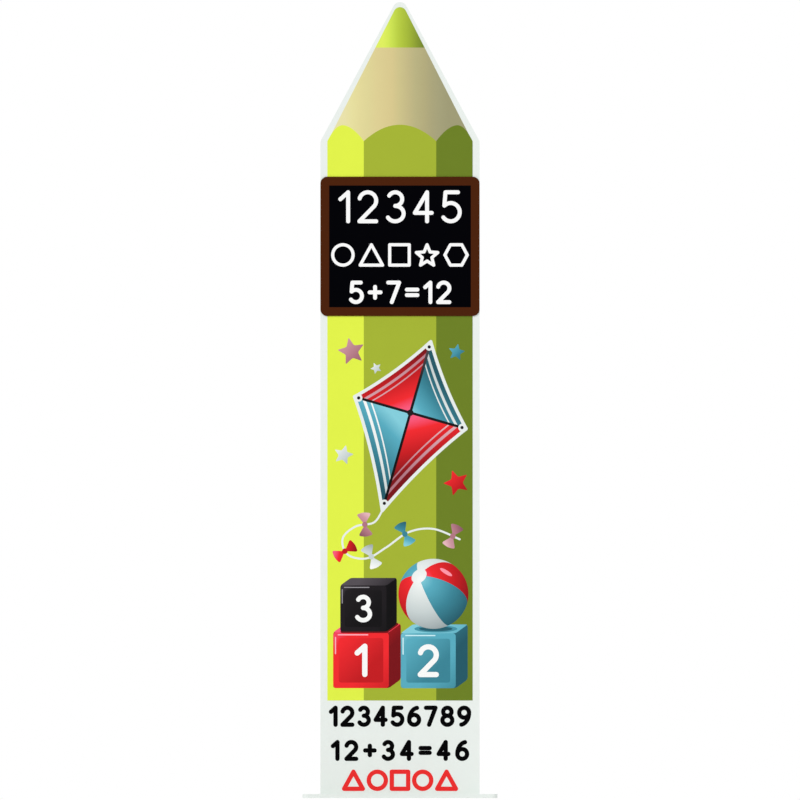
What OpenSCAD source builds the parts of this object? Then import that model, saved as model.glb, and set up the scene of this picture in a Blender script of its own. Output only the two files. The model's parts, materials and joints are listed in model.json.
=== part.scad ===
// Pencil-shaped roadside sign: a framed aluminium panel on a steel post with a base plate.
// Millimetres. The origin is the middle of the base plate's underside, +X is to the right as seen
// from the front, the printed side faces -Y, and +Z is up.

/* [Panel] */
// Height of the sign above the ground
sign_h = 2000; // [1960:10:2100]
// Width of the panel
panel_w = 400; // [390:5:430]
// Height at which the two sides turn into the pencil's cone
shoulder_z = 1650; // [1630:10:1670]
// Radius of the cone's tip
tip_r = 18; // [14:1:24]
// Radius of the outline at the shoulders
shoulder_r = 25; // [15:1:35]
// Depth of the panel, from the sheet's front face to the back of its edge angles
panel_d = 18; // [18:1:24]
// Thickness of the sheet
sheet_t = 2; // [1.5:0.5:2.5]
// Width of the edge angles' leg that is bonded to the sheet
angle_w = 16; // [14:1:20]
// Thickness of the angles' legs
angle_t = 2; // [1.5:0.5:2.5]
// Distance of the angles from the sheet's sides
angle_inset = 1; // [0:0.5:3]
// Gap between two angles in a mitred corner
mitre_gap = 0.6; // [0.2:0.2:2]

/* [Printed film] */
// Bare margin between the panel's sides and the film
print_margin = 17.5; // [12:0.5:25]
// Height of the film's lower edge
print_z = 245; // [200:5:300]
// Height of the film's upper end
print_top_z = 1987; // [1960:1:1990]
// Radius of the film's tip
print_tip_r = 17.5; // [10:0.5:20]
// Half angle of the film's cone
print_cone = 27; // [25:0.2:28]
// Height at which the film's straight sides end
arch_z = 1650; // [1600:5:1660]
// Rise of the arch over each shoulder
arch_h = 40; // [20:5:50]
// Width of that arch, from the film's side to its peak
arch_w = 38.5; // [30:0.5:50]
// Thickness of the film
film_t = 0.3; // [0.2:0.1:0.6]

/* [Name board] */
// Height of the board
board_h = 350; // [300:10:360]
// Height of the board's lower edge
board_z = 1211; // [1205:1:1220]
// Radius of the board's corners
board_r = 17.5; // [8:0.5:30]
// Thickness of the board
board_t = 2; // [1.5:0.5:3]
// Distance from the board's edges to its studs
stud_inset = 50; // [40:5:60]

/* [Rails and clamps] */
// Clearance between a rail's end and the angle beside it
rail_gap = 4; // [2:1:10]
// Width of a rail's foot, which is bonded to the panel
rail_foot_w = 36; // [32:2:44]
// Thickness of a rail's foot
rail_foot_t = 3; // [2.5:0.5:3.5]
// Thickness of a rail's walls
rail_wall = 3; // [2:0.5:4]
// Thickness of the two lips that hold the bolts' heads
rail_lip = 4; // [3:0.5:4.5]
// Width of the slot between the lips
rail_slot = 9; // [8.6:0.2:10]
// Thickness of the clamps' strap
strap_t = 3; // [2:0.5:4]
// Width of the clamps' strap
strap_w = 30; // [24:2:36]
// Gap between a clamp's ear and its rail
clamp_gap = 2; // [1:0.5:3]
// Distance of the clamps' bolts from the middle of the post
clamp_bolt_x = 42; // [41:1:50]

/* [Post] */
// Width of the tube, across the sign
post_w = 40; // [40:1:44]
// Depth of the tube, front to back
post_d = 80; // [70:5:100]
// Wall of the tube
post_wall = 2; // [1.5:0.5:3]
// Outside radius of the tube's corners
post_r = 5; // [4.5:0.5:8]
// Height of the tube's upper end
post_top_z = 1826; // [1800:1:1840]

/* [Base plate] */
// Width of the plate
base_w = 490; // [480:5:560]
// Depth of the plate
base_d = 250; // [245:5:320]
// Thickness of the plate
base_t = 10; // [8:1:15]
// Radius of the plate's corners
base_r = 15; // [5:1:25]
// Distance between the anchor holes, side to side
anchor_x = 445; // [435:5:450]
// Distance between the anchor holes, front to back
anchor_y = 200; // [190:5:205]
// Diameter of the anchor holes
anchor_d = 14; // [12:1:18]
// Height of the gussets
gusset_h = 100; // [60:5:120]
// Reach of the gussets on each side of the post
gusset_side = 90; // [60:5:100]
// Reach of the gusset behind the post
gusset_back = 70; // [60:5:75]
// Thickness of the gussets
gusset_t = 8; // [6:1:10]

/* [Hidden] */
// Heights of the rails' middles, each with a clamp
rail_zs = [150, 560, 970, 1386, 1760];
rail_count = len(rail_zs);

$fn = 48;

COAT = [0.92, 0.94, 0.93];
PRINT = [0.64, 0.71, 0.22];
BOARD_BROWN = [0.29, 0.13, 0.05];
BOARD_BLACK = [0.01, 0.01, 0.02];
ALUMINIUM = [0.78, 0.79, 0.80];
ZINC = [0.66, 0.67, 0.68];
CAP_BLACK = [0.10, 0.10, 0.11];

// Fastener sizes: thread, head across flats, head height, nut height, washer width and thickness
THREAD = 0;
FLATS = 1;
HEAD_H = 2;
NUT_H = 3;
WASHER_D = 4;
WASHER_T = 5;
M6 = [6, 10, 4, 5, 12, 1.6];
M8 = [8, 13, 5.3, 6.5, 16, 1.6];
clamp_bolt_len = 20;
foot_bolt_len = 12;
stud_len = 11;
stud_hole_d = M6[THREAD] + 2;
foot_xs = [-150, -50, 50, 150];
// Clearances: a hole round a shank, a nut or a tapped hole on its thread
hole_play = 1;
thread_play = 0.1;
// How far a cutter runs past the face that it cuts
over = 1;

// Planes from front to back
rail_face_y = -post_d / 2;
panel_y = rail_face_y - panel_d;
panel_back_y = panel_y + sheet_t;
film_y = panel_y - film_t;
board_y = film_y - board_t;
rail_d = panel_d - sheet_t;
ear_y = rail_face_y + clamp_gap;
// Where a clamp's ears end, past the washers
ear_x = clamp_bolt_x + M8[WASHER_D] / 2 + strap_t;

// The panel's outline: each slope is the line through the sharp shoulder that touches the tip
half_w = panel_w / 2;
tip_z = sign_h - tip_r;
to_tip = norm([half_w, tip_z - shoulder_z]);
cone = atan2(half_w, tip_z - shoulder_z) - asin(tip_r / to_tip);
slope_len = sqrt(to_tip * to_tip - tip_r * tip_r);
shoulder_cut = shoulder_r * tan(cone / 2);
// The angles' root radius, and how far their legs reach in from the sheet's edge
angle_root_r = 1.5;
frame_in = angle_inset + angle_w;
// How far short of the tip's curve the two sloping angles end
tip_gap = 4;
// The foot bolts stand midway between the foot angle's root and the edge of its leg
foot_y = (panel_back_y + angle_t + angle_root_r + rail_face_y) / 2;

function mirrored(points) =
    concat(points, [for (i = [len(points) - 1 : -1 : 0]) [-points[i][0], points[i][1]]]);

module round_rect(w, h, r) {
    square([w - 2 * r, h], center = true);
    square([w, h - 2 * r], center = true);
    for (x = [-1, 1], y = [-1, 1])
        translate([x * (w / 2 - r), y * (h / 2 - r)])
            circle(r);
}

// The sharp corner between two edges, less the circle that rounds it
module corner_web(r) {
    difference() {
        square(r);
        translate([r, r])
            circle(r);
    }
}

// A plate drawn in its front view, with its front face at y and its thickness t behind that
module upright(y, t) {
    translate([0, y + t, 0])
        rotate([90, 0, 0])
            linear_extrude(t)
                children();
}

// Turns what is drawn along +Z to run backwards, along +Y
module backwards(x, y, z) {
    translate([x, y, z])
        rotate([-90, 0, 0])
            children();
}

// Hexagon with a turned bevel at its upper end
module hex_body(flats, h) {
    corners = flats / cos(30);
    bevel_h = flats / 16;
    bevel_d = 0.95 * flats;
    intersection() {
        cylinder(d = corners, h = h, $fn = 6);
        union() {
            cylinder(d = corners, h = h - bevel_h);
            translate([0, 0, h - bevel_h])
                cylinder(d1 = corners, d2 = bevel_d, h = bevel_h);
        }
    }
}

module shank(d, len) {
    tip = d / 8;
    cylinder(d = d, h = len - tip);
    translate([0, 0, len - tip])
        cylinder(d1 = d, d2 = d - 2 * tip, h = tip);
}

// A bolt with its head below the origin and its shank above
module hex_bolt(size, len) {
    mirror([0, 0, 1])
        hex_body(size[FLATS], size[HEAD_H]);
    shank(size[THREAD], len);
}

module hex_nut(size) {
    difference() {
        hex_body(size[FLATS], size[NUT_H]);
        translate([0, 0, -over])
            cylinder(d = size[THREAD] + thread_play, h = size[NUT_H] + 2 * over);
    }
}

module washer(size) {
    linear_extrude(size[WASHER_T])
        difference() {
            circle(d = size[WASHER_D]);
            circle(d = size[THREAD] + hole_play / 2);
        }
}

// The pencil's outline in front view, rounded at the shoulders and the tip
module pencil_outline() {
    turn = [half_w - shoulder_r, shoulder_z - shoulder_cut];
    out = [cos(cone), sin(cone)];
    polygon(mirrored([
        [half_w, base_t],
        [half_w, turn[1]],
        turn + shoulder_r * out,
        [0, tip_z] + tip_r * out
    ]));
    translate([0, tip_z])
        circle(tip_r);
    for (side = [-1, 1])
        translate([side * turn[0], turn[1]])
            circle(shoulder_r);
}

// Section of an edge angle. The sheet's edge is x = 0 and its front face y = 0: one leg lies on
// the sheet's back, the other stands off it.
module angle_section() {
    toe_r = angle_t / 2;
    translate([-angle_inset - angle_w + toe_r, sheet_t]) {
        square([angle_w - toe_r, angle_t]);
        translate([0, toe_r])
            circle(toe_r);
    }
    translate([-angle_inset - angle_t, sheet_t])
        square([angle_t, panel_d - sheet_t - toe_r]);
    translate([-angle_inset - toe_r, panel_d - toe_r])
        circle(toe_r);
    translate([-angle_inset - angle_t, sheet_t + angle_t])
        mirror([1, 0])
            corner_web(angle_root_r);
}

// The edges with an angle: the corner where it starts in front view, its lean from upright, its
// length, and the lean of the cut at each end. Each one runs with the sheet on its left.
shoulder_in = angle_inset * tan(cone / 2);
FOOT_EDGE = [[angle_inset - half_w, base_t], 90, panel_w - 2 * angle_inset, 45, 45];
SIDE_EDGE = [[half_w - angle_inset, base_t], 0, shoulder_z - shoulder_in - base_t, 45, cone / 2];
SLOPE_EDGE = [
    [half_w - angle_inset, shoulder_z - shoulder_in],
    -cone,
    slope_len - shoulder_in - tip_gap,
    cone / 2,
    0
];
CORNER = 0;
LEAN = 1;
LENGTH = 2;
FIRST_CUT = 3;
LAST_CUT = 4;

module edge_angle(edge) {
    first = mitre_gap / 2;
    last = edge[LENGTH] - mitre_gap / 2;
    wide = angle_w + over;
    color(COAT)
        translate([edge[CORNER][0], panel_y, edge[CORNER][1]])
            rotate([0, edge[LEAN], 0])
                intersection() {
                    translate([angle_inset, 0, 0])
                        linear_extrude(edge[LENGTH])
                            angle_section();
                    upright(0, panel_d + over)
                        polygon([
                            [over, first - over * tan(edge[FIRST_CUT])],
                            [over, last + over * tan(edge[LAST_CUT])],
                            [-wide, last - wide * tan(edge[LAST_CUT])],
                            [-wide, first + wide * tan(edge[FIRST_CUT])]
                        ]);
                }
}

module at_studs(y) {
    for (x = [-1, 1], z = [stud_inset, board_h - stud_inset])
        backwards(x * (half_w - stud_inset), y, board_z + z)
            children();
}

module stud_holes(y) {
    at_studs(y - over)
        cylinder(d = stud_hole_d, h = sheet_t + 2 * over);
}

module at_feet(z) {
    for (x = foot_xs)
        translate([x, foot_y, z])
            children();
}

module panel_sheet() {
    color(COAT)
        difference() {
            upright(panel_y, sheet_t)
                pencil_outline();
            stud_holes(panel_y);
        }
}

// The foot angle stands on the base plate and takes the foot bolts
module foot_angle() {
    difference() {
        edge_angle(FOOT_EDGE);
        at_feet(base_t - over)
            cylinder(d = M6[THREAD] + hole_play, h = angle_t + 2 * over);
    }
}

module side_angle_right() {
    edge_angle(SIDE_EDGE);
}

module side_angle_left() {
    mirror([1, 0, 0])
        side_angle_right();
}

module slope_angle_right() {
    edge_angle(SLOPE_EDGE);
}

module slope_angle_left() {
    mirror([1, 0, 0])
        slope_angle_right();
}

// The film's outline: straight sides, a parabola over each shoulder, and the sharpened cone
module film_outline() {
    side = half_w - print_margin;
    steps = 12;
    arch = [for (i = [steps : -1 : 0]) [i / steps, 1 - pow(i / steps, 2)]];
    polygon(mirrored(concat(
        [[side, print_z]],
        [for (a = arch) [side - arch_w * (1 - a[0]), arch_z + arch_h * a[1]]]
    )));
    centre = [0, print_top_z - print_tip_r];
    touch = centre + print_tip_r * [cos(print_cone), sin(print_cone)];
    polygon(mirrored([[touch[0] + (touch[1] - arch_z) * tan(print_cone), arch_z], touch]));
    translate(centre)
        circle(print_tip_r);
}

module printed_film() {
    color(PRINT)
        difference() {
            upright(film_y, film_t)
                film_outline();
            stud_holes(film_y);
        }
}

module board_outline() {
    translate([0, board_z + board_h / 2])
        round_rect(panel_w, board_h, board_r);
}

module name_board() {
    color(BOARD_BROWN)
        upright(board_y, board_t)
            board_outline();
}

module board_film() {
    color(BOARD_BLACK)
        upright(board_y - film_t, film_t)
            board_outline();
}

// A welded stud has a low collar round its foot, which the panel's hole clears
module board_studs() {
    collar_d = 1.25 * M6[THREAD];
    collar_h = 0.8;
    color(ZINC)
        at_studs(film_y) {
            cylinder(d = collar_d, h = collar_h);
            shank(M6[THREAD], stud_len);
        }
}

module board_washers() {
    color(ZINC)
        at_studs(panel_back_y)
            washer(M6);
}

module board_nuts() {
    color(ZINC)
        at_studs(panel_back_y + M6[WASHER_T])
            hex_nut(M6);
}

// Half the length of a rail that fits between the angles at height z
function rail_half(z) =
    min(half_w, half_w - (z + rail_foot_w / 2 - shoulder_z) * tan(cone)) - frame_in / cos(cone) - rail_gap;

// Extruded section: x is the depth behind the panel, y the height
module rail_section() {
    chamber = M8[FLATS] + hole_play / 2;
    outer = chamber + 2 * rail_wall;
    toe_r = rail_foot_t / 2;
    root_r = 2;
    translate([rail_foot_t / 2, 0])
        square([rail_foot_t, rail_foot_w - 2 * toe_r], center = true);
    for (side = [-1, 1])
        translate([toe_r, side * (rail_foot_w / 2 - toe_r)])
            circle(toe_r);
    difference() {
        translate([0, -outer / 2])
            square([rail_d, outer]);
        translate([rail_foot_t, -chamber / 2])
            square([rail_d - rail_foot_t - rail_lip, chamber]);
        translate([rail_d - rail_lip - over, -rail_slot / 2])
            square([rail_lip + 2 * over, rail_slot]);
        for (side = [0, 1])
            mirror([0, side])
                translate([rail_d, outer / 2])
                    rotate(180)
                        corner_web(root_r / 2);
    }
    for (side = [0, 1])
        mirror([0, side])
            translate([rail_foot_t, outer / 2])
                corner_web(root_r);
}

module rail(i) {
    half = rail_half(rail_zs[i]);
    color(ALUMINIUM)
        translate([-half, panel_back_y, rail_zs[i]])
            rotate([90, 0, 90])
                linear_extrude(2 * half)
                    rail_section();
}

// Strap round the post in plan: back corners that fit the tube, and an ear bent out on each side
module clamp_section() {
    difference() {
        round_rect(post_w + 2 * strap_t, post_d + 2 * strap_t, post_r + strap_t);
        round_rect(post_w, post_d, post_r);
        translate([-post_w / 2, -post_d / 2])
            square([post_w, post_d / 2]);
        translate([-post_w, ear_y - post_d])
            square([2 * post_w, post_d]);
    }
    for (side = [0, 1])
        mirror([side, 0])
            translate([post_w / 2, ear_y]) {
                difference() {
                    union() {
                        square([strap_t, 2 * post_r]);
                        square([ear_x - post_w / 2, strap_t]);
                    }
                    corner_web(2 * strap_t);
                }
                translate([strap_t, strap_t])
                    corner_web(strap_t);
            }
}

module clamp(i) {
    ear_r = 6;
    color(ZINC)
        difference() {
            intersection() {
                translate([0, 0, rail_zs[i] - strap_w / 2])
                    linear_extrude(strap_w)
                        clamp_section();
                upright(ear_y - over, post_d + 2 * strap_t + 2 * over)
                    translate([0, rail_zs[i]])
                        round_rect(2 * ear_x, strap_w, ear_r);
            }
            for (side = [-1, 1])
                backwards(side * clamp_bolt_x, ear_y - over, rail_zs[i])
                    cylinder(d = M8[THREAD] + hole_play, h = strap_t + 2 * over);
        }
}

module at_clamps(y) {
    for (z = rail_zs, side = [-1, 1])
        backwards(side * clamp_bolt_x, y, z)
            children();
}

module clamp_bolts() {
    color(ZINC)
        at_clamps(rail_face_y - rail_lip)
            hex_bolt(M8, clamp_bolt_len);
}

module clamp_washers() {
    color(ZINC)
        at_clamps(ear_y + strap_t)
            washer(M8);
}

module clamp_nuts() {
    color(ZINC)
        at_clamps(ear_y + strap_t + M8[WASHER_T])
            hex_nut(M8);
}

module foot_bolts() {
    color(ZINC)
        at_feet(base_t + angle_t + M6[WASHER_T])
            mirror([0, 0, 1])
                hex_bolt(M6, foot_bolt_len);
}

module foot_washers() {
    color(ZINC)
        at_feet(base_t + angle_t)
            washer(M6);
}

module base_plate() {
    color(COAT)
        difference() {
            linear_extrude(base_t)
                difference() {
                    round_rect(base_w, base_d, base_r);
                    for (x = [-1, 1], y = [-1, 1])
                        translate([x * anchor_x / 2, y * anchor_y / 2])
                            circle(d = anchor_d);
                }
            at_feet(-over)
                cylinder(d = M6[THREAD] + thread_play, h = base_t + 2 * over);
        }
}

module post() {
    color(COAT)
        translate([0, 0, base_t])
            linear_extrude(post_top_z - base_t)
                difference() {
                    round_rect(post_w, post_d, post_r);
                    round_rect(post_w - 2 * post_wall, post_d - 2 * post_wall, post_r - post_wall);
                }
}

// Moulded plug: a lid with a low roof, a skirt inside the tube and fins that grip its wall
module post_cap() {
    lid_t = 4;
    bevel = 1.5;
    roof_h = 2.5;
    skirt_h = 20;
    skirt_t = 2;
    skirt_gap = 0.8;
    fin_t = 1;
    fin_pitch = 6;
    bore_w = post_w - 2 * post_wall;
    bore_d = post_d - 2 * post_wall;
    bore_r = post_r - post_wall;
    skirt_w = bore_w - 2 * skirt_gap;
    skirt_d = bore_d - 2 * skirt_gap;
    color(CAP_BLACK)
        translate([0, 0, post_top_z]) {
            hull() {
                linear_extrude(lid_t - bevel)
                    round_rect(post_w, post_d, post_r, $fn = 32);
                linear_extrude(lid_t)
                    round_rect(post_w - 2 * bevel, post_d - 2 * bevel, post_r - bevel, $fn = 32);
                translate([0, 0, lid_t + roof_h / 2])
                    cube([over, post_d - post_w, roof_h], center = true);
            }
            translate([0, 0, -skirt_h])
                linear_extrude(skirt_h)
                    difference() {
                        round_rect(skirt_w, skirt_d, bore_r);
                        round_rect(skirt_w - 2 * skirt_t, skirt_d - 2 * skirt_t, bore_r);
                    }
            for (i = [1 : 3])
                translate([0, 0, -i * fin_pitch])
                    linear_extrude(fin_t)
                        difference() {
                            round_rect(bore_w, bore_d, bore_r);
                            square([skirt_w - skirt_t, skirt_d - skirt_t], center = true);
                        }
        }
}

// Triangular stiffener with blunt noses, and its inner corner cut off to clear the weld
module gusset(reach) {
    nose = 15;
    snipe = 10;
    color(COAT)
        translate([0, gusset_t / 2, base_t])
            rotate([90, 0, 0])
                linear_extrude(gusset_t)
                    polygon([
                        [snipe, 0],
                        [reach, 0],
                        [reach, nose],
                        [nose, gusset_h],
                        [0, gusset_h],
                        [0, snipe]
                    ]);
}

module gusset_right() {
    translate([post_w / 2, 0, 0])
        gusset(gusset_side);
}

module gusset_left() {
    mirror([1, 0, 0])
        gusset_right();
}

module gusset_rear() {
    translate([0, post_d / 2, 0])
        rotate([0, 0, 90])
            gusset(gusset_back);
}

base_plate();
post();
post_cap();
gusset_left();
gusset_right();
gusset_rear();
panel_sheet();
foot_angle();
side_angle_left();
side_angle_right();
slope_angle_left();
slope_angle_right();
printed_film();
name_board();
board_film();
for (i = [0 : rail_count - 1]) {
    rail(i);
    clamp(i);
}
clamp_bolts();
clamp_washers();
clamp_nuts();
foot_bolts();
foot_washers();
board_studs();
board_washers();
board_nuts();
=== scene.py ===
"""Looks of the pencil-shaped sign.

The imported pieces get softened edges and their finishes, the two prints and the foot's numbers are
cut as fields of ink, and welds, adhesive and threads are grown on the metal. Lengths are in
millimetres in the sign's own frame: x to the right, z up, the printed side towards -y.
"""
import json
import logging
from dataclasses import dataclass, field
from enum import Enum
from math import atan2, cos, degrees, hypot, pi, radians, sin, tan

import bmesh
import bpy
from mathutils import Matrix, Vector
from mathutils.geometry import delaunay_2d_cdt


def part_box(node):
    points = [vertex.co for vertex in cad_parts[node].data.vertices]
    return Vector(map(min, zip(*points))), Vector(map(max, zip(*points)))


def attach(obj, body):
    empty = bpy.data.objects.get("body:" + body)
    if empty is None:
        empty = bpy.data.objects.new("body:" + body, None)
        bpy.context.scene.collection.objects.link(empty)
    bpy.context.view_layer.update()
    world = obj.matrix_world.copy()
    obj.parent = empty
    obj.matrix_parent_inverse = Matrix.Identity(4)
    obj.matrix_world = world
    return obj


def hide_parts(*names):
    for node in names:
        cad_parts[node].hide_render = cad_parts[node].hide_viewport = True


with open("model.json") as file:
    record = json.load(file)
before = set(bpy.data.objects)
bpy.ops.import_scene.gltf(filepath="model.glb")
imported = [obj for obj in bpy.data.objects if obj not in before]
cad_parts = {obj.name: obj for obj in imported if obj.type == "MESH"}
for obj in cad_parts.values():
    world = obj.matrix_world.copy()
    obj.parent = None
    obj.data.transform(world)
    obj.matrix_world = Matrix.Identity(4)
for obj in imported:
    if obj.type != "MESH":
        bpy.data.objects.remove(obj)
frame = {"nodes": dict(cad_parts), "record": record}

log = logging.getLogger("sign")

MM = 0.001
BODY = "root"

Point = tuple[float, float]
Spot = tuple[float, float, float]
Loop = list[Point]
Socket = bpy.types.NodeSocket
Piece = bpy.types.Object


@dataclass(frozen=True)
class Tint:
    """A colour as it is seen, in 8-bit steps of red, green and blue."""

    red: float
    green: float
    blue: float

    def linear(self) -> tuple[float, float, float, float]:
        """Gives linear red, green, blue and an alpha of 1, as a shader's socket takes them."""
        shares = [step / 255 for step in (self.red, self.green, self.blue)]
        return *(x / 12.92 if x <= 0.04045 else ((x + 0.055) / 1.055) ** 2.4 for x in shares), 1.0


class Shader:
    """A material's node tree, with short ways to add and join its nodes."""

    def __init__(self, name: str) -> None:
        """Starts a material with a Principled shader.

        Args:
            name: The material's name.
        """
        self.material = bpy.data.materials.new(name)
        self.material.use_nodes = True
        self.tree = self.material.node_tree
        self.surface = self.tree.nodes["Principled BSDF"]

    def add(self, kind: str, **settings: object) -> bpy.types.Node:
        """Adds a node.

        Args:
            kind: The node's type, without its ShaderNode prefix.
            settings: Properties of the node, or values of its inputs by name.

        Returns:
            The new node.
        """
        node = self.tree.nodes.new("ShaderNode" + kind)
        for key, value in settings.items():
            if hasattr(node, key):
                setattr(node, key, value)
            else:
                node.inputs[key.replace("_", " ").title()].default_value = value
        return node

    def join(self, output: Socket, target: Socket) -> None:
        """Links an output to an input."""
        self.tree.links.new(output, target)

    def place(self, stretch: Spot = (1, 1, 1)) -> Socket:
        """Adds the object's own coordinates.

        Args:
            stretch: Factor on each axis.

        Returns:
            The coordinates, in metres.
        """
        mapping = self.add("Mapping", vector_type="POINT")
        mapping.inputs["Scale"].default_value = stretch
        self.join(self.add("TexCoord").outputs["Object"], mapping.inputs["Vector"])
        return mapping.outputs["Vector"]

    def noise(self, grain: float, detail: float = 2, stretch: Spot = (1, 1, 1)) -> Socket:
        """Adds a cloudy pattern.

        Args:
            grain: Size of its spots.
            detail: Number of finer layers on top.
            stretch: Stretch of the coordinates along each axis.

        Returns:
            The pattern's value, about 0.5 on average.
        """
        node = self.add("TexNoise")
        node.inputs["Scale"].default_value = 1 / (grain * MM)
        node.inputs["Detail"].default_value = detail
        self.join(self.place(stretch), node.inputs["Vector"])
        return node.outputs["Fac"]

    def frosted(self, grain: float, reach: float) -> Socket:
        """Gives the object's coordinates with a fine wobble, so that cells get feathery rims.

        Args:
            grain: Size of the wobble's spots.
            reach: How far it shifts a point.

        Returns:
            The shifted coordinates.
        """
        wobble = self.add("TexNoise")
        wobble.inputs["Scale"].default_value = 1 / (grain * MM)
        place = self.place()
        self.join(place, wobble.inputs["Vector"])
        shift = self.add("VectorMath", operation="MULTIPLY_ADD")
        self.join(wobble.outputs["Color"], shift.inputs[0])
        shift.inputs[1].default_value = (reach * MM,) * 3
        self.join(place, shift.inputs[2])
        return shift.outputs["Vector"]

    def spread(self, value: Socket, low: float, high: float, window: Point = (0.3, 0.7)) -> Socket:
        """Maps a pattern's usual span to a range.

        Args:
            value: The pattern.
            low: Result at the window's lower end.
            high: Result at the window's upper end.
            window: The pattern's values that reach the two ends.

        Returns:
            The mapped value.
        """
        node = self.add("MapRange")
        for name, number in zip(("From Min", "From Max", "To Min", "To Max"), (*window, low, high)):
            node.inputs[name].default_value = number
        self.join(value, node.inputs["Value"])
        return node.outputs["Result"]

    def ramp(self, value: Socket, stops: list[tuple[float, Tint]]) -> Socket:
        """Adds a colour ramp.

        Args:
            value: Where on the ramp each point lies.
            stops: Places from 0 to 1 with their tints, in rising order.

        Returns:
            The ramp's colour.
        """
        node = self.add("ValToRGB")
        steps = node.color_ramp.elements
        while len(steps) < len(stops):
            steps.new(1.0)
        for step, (place, tint) in zip(steps, stops):
            step.position = place
            step.color = tint.linear()
        self.join(value, node.inputs["Fac"])
        return node.outputs["Color"]

    def mottle(self, colour: Socket | Tint, grain: float, depth: float) -> Socket:
        """Lightens and darkens a colour a little from place to place.

        Args:
            colour: The colour, as a socket or a tint.
            grain: Size of the spots.
            depth: Largest change either way.

        Returns:
            The uneven colour.
        """
        node = self.add("Mix", data_type="RGBA", blend_type="MULTIPLY")
        share, first, second = (node.inputs[i] for i in (0, 6, 7))
        share.default_value = 1.0
        if isinstance(colour, Tint):
            first.default_value = colour.linear()
        else:
            self.join(colour, first)
        self.join(self.spread(self.noise(grain), 1 - depth, 1 + depth), second)
        return node.outputs[2]

    def bump(self, height: Socket, depth: float, strength: float = 1.0) -> None:
        """Lets a pattern raise the surface.

        Args:
            height: The pattern.
            depth: How far a value of 1 raises the surface.
            strength: Share of the effect.
        """
        node = self.add("Bump")
        node.inputs["Strength"].default_value = strength
        node.inputs["Distance"].default_value = depth * MM
        self.join(height, node.inputs["Height"])
        self.join(node.outputs["Normal"], self.surface.inputs["Normal"])

    def roughness(self, value: Socket) -> None:
        """Links the surface's roughness."""
        self.join(value, self.surface.inputs["Roughness"])

    def colour(self, value: Socket) -> None:
        """Links the surface's base colour."""
        self.join(value, self.surface.inputs["Base Color"])


@dataclass(frozen=True, kw_only=True)
class Finish:
    """What every finish has: a name, and one material that all its pieces share."""

    name: str

    def material(self) -> bpy.types.Material:
        """Makes the finish's material at its first use.

        Returns:
            The material.
        """
        found = bpy.data.materials.get(self.name)
        if found:
            return found
        shader = Shader(self.name)
        self.mix(shader)
        return shader.material

    def mix(self, shader: Shader) -> None:
        """Fills a material's node tree."""
        raise NotImplementedError


@dataclass(frozen=True, kw_only=True)
class SprayedCoat(Finish):
    """Stoved powder coat: satin, with a faint orange peel."""

    tint: Tint
    gloss: float = 0.4
    peel: float = 1.8

    def mix(self, shader: Shader) -> None:
        """Fills the material's node tree.

        Args:
            shader: The node tree.
        """
        shader.surface.inputs["Specular IOR Level"].default_value = self.gloss
        shader.colour(shader.mottle(self.tint, grain=60, depth=0.008))
        shader.roughness(shader.spread(shader.noise(grain=35), low=0.34, high=0.44))
        shader.bump(shader.noise(self.peel, detail=1), depth=0.06, strength=0.7)


class Falloff(Enum):
    """How an ink runs from its first tint to its last."""

    ALONG = "along the line from start to end"
    ROUND = "outwards from start, over the distance to end"


@dataclass(frozen=True, kw_only=True)
class Ink(Finish):
    """Printed ink on sign film. Start and end are points on the print, in x and z."""

    stops: tuple[tuple[float, Tint], ...]
    start: Point = (0.0, 0.0)
    end: Point = (0.0, 1.0)
    falloff: Falloff = Falloff.ALONG
    gloss: float = 0.1
    unevenness: float = 0.006
    cell: float = 3.2

    def mix(self, shader: Shader) -> None:
        """Fills the material's node tree.

        Args:
            shader: The node tree.
        """
        shader.surface.inputs["Specular IOR Level"].default_value = self.gloss
        plain = len(self.stops) == 1
        base = self.stops[0][1] if plain else shader.ramp(self.run(shader), list(self.stops))
        shader.colour(shader.mottle(base, grain=45, depth=self.unevenness))
        shader.roughness(shader.spread(shader.noise(grain=20), low=0.52, high=0.6))
        shader.bump(self.film(shader), depth=0.01, strength=0.25)

    def run(self, shader: Shader) -> Socket:
        """Measures where between start and end each point lies.

        Args:
            shader: The material's node tree.

        Returns:
            0 at the start and 1 at the end.
        """
        across, up = self.end[0] - self.start[0], self.end[1] - self.start[1]
        reach = hypot(across, up)
        offset = shader.add("VectorMath", operation="SUBTRACT")
        offset.inputs[1].default_value = (self.start[0] * MM, 0, self.start[1] * MM)
        shader.join(shader.place(), offset.inputs[0])
        measure = shader.add("VectorMath")
        if self.falloff is Falloff.ALONG:
            measure.operation = "DOT_PRODUCT"
            measure.inputs[1].default_value = (across / reach**2 / MM, 0, up / reach**2 / MM)
            shader.join(offset.outputs["Vector"], measure.inputs[0])
            return measure.outputs["Value"]
        flat = shader.add("VectorMath", operation="MULTIPLY")
        flat.inputs[1].default_value = (1 / reach / MM, 0, 1 / reach / MM)
        shader.join(offset.outputs["Vector"], flat.inputs[0])
        measure.operation = "LENGTH"
        shader.join(flat.outputs["Vector"], measure.inputs[0])
        return measure.outputs["Value"]

    def film(self, shader: Shader) -> Socket:
        """Adds the film's own fine cells, which show only in its shine.

        Args:
            shader: The material's node tree.

        Returns:
            0 on the lines between the cells and 1 inside them.
        """
        cells = shader.add("TexVoronoi", feature="DISTANCE_TO_EDGE")
        cells.inputs["Scale"].default_value = 1 / (self.cell * MM)
        shader.join(shader.place(), cells.inputs["Vector"])
        return shader.spread(cells.outputs["Distance"], low=0, high=1, window=(0, 0.12))


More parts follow.
